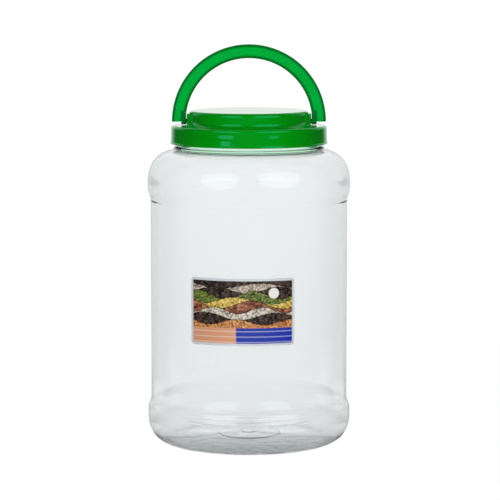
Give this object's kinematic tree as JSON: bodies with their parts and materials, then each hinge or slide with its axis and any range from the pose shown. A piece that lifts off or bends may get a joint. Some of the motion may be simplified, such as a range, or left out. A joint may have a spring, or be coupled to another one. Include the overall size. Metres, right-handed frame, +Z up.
{
  "type": "storage jar",
  "caption": "Clear wide-mouth storage jar with raised bands, a front label, a green screw lid and a swinging half-ring carry handle.",
  "frame": {"origin": "centre of the jar's foot ring, on the surface that it stands on", "axes": "+Z up along the jar's axis; the label faces -Y; the handle swings about an axis along X"},
  "size_m": [0.17, 0.17, 0.3325],
  "materials": {
    "clear_plastic": "clear blown PET, glossy inside and out, faint grey-green tint",
    "label_film": "printed self-adhesive film with a satin face",
    "liner_foam": "white closed-cell foam sheet",
    "lid_plastic": "moulded green polypropylene, glossy",
    "handle_plastic": "moulded green polypropylene, semi-gloss"
  },
  "bodies": {
    "jar": {"jar_body": "clear_plastic", "label": "label_film"},
    "seal": {"lid_liner": "liner_foam"},
    "lid": {"lid_cap": "lid_plastic"},
    "handle": {"carry_handle": "handle_plastic"}
  },
  "joints": [
    {"name": "lid_lift", "type": "slide", "parent": "jar", "child": "seal", "axis": [0, 0, 1], "range_m": [0, 0.01501]},
    {"name": "lid_turn", "type": "hinge", "parent": "seal", "child": "lid", "pos_m": [0, 0, 0.26539], "axis": [0, 0, 1], "range_deg": [0, 900]},
    {"name": "handle_swing", "type": "hinge", "parent": "lid", "child": "handle", "pos_m": [0, 0, 0.26869], "axis": [1, 0, 0], "range_deg": [-90, 90]}
  ],
  "couplings": [
    {"joint": "lid_lift", "follows": "lid_turn", "m_per_rad": 0.00095493}
  ]
}
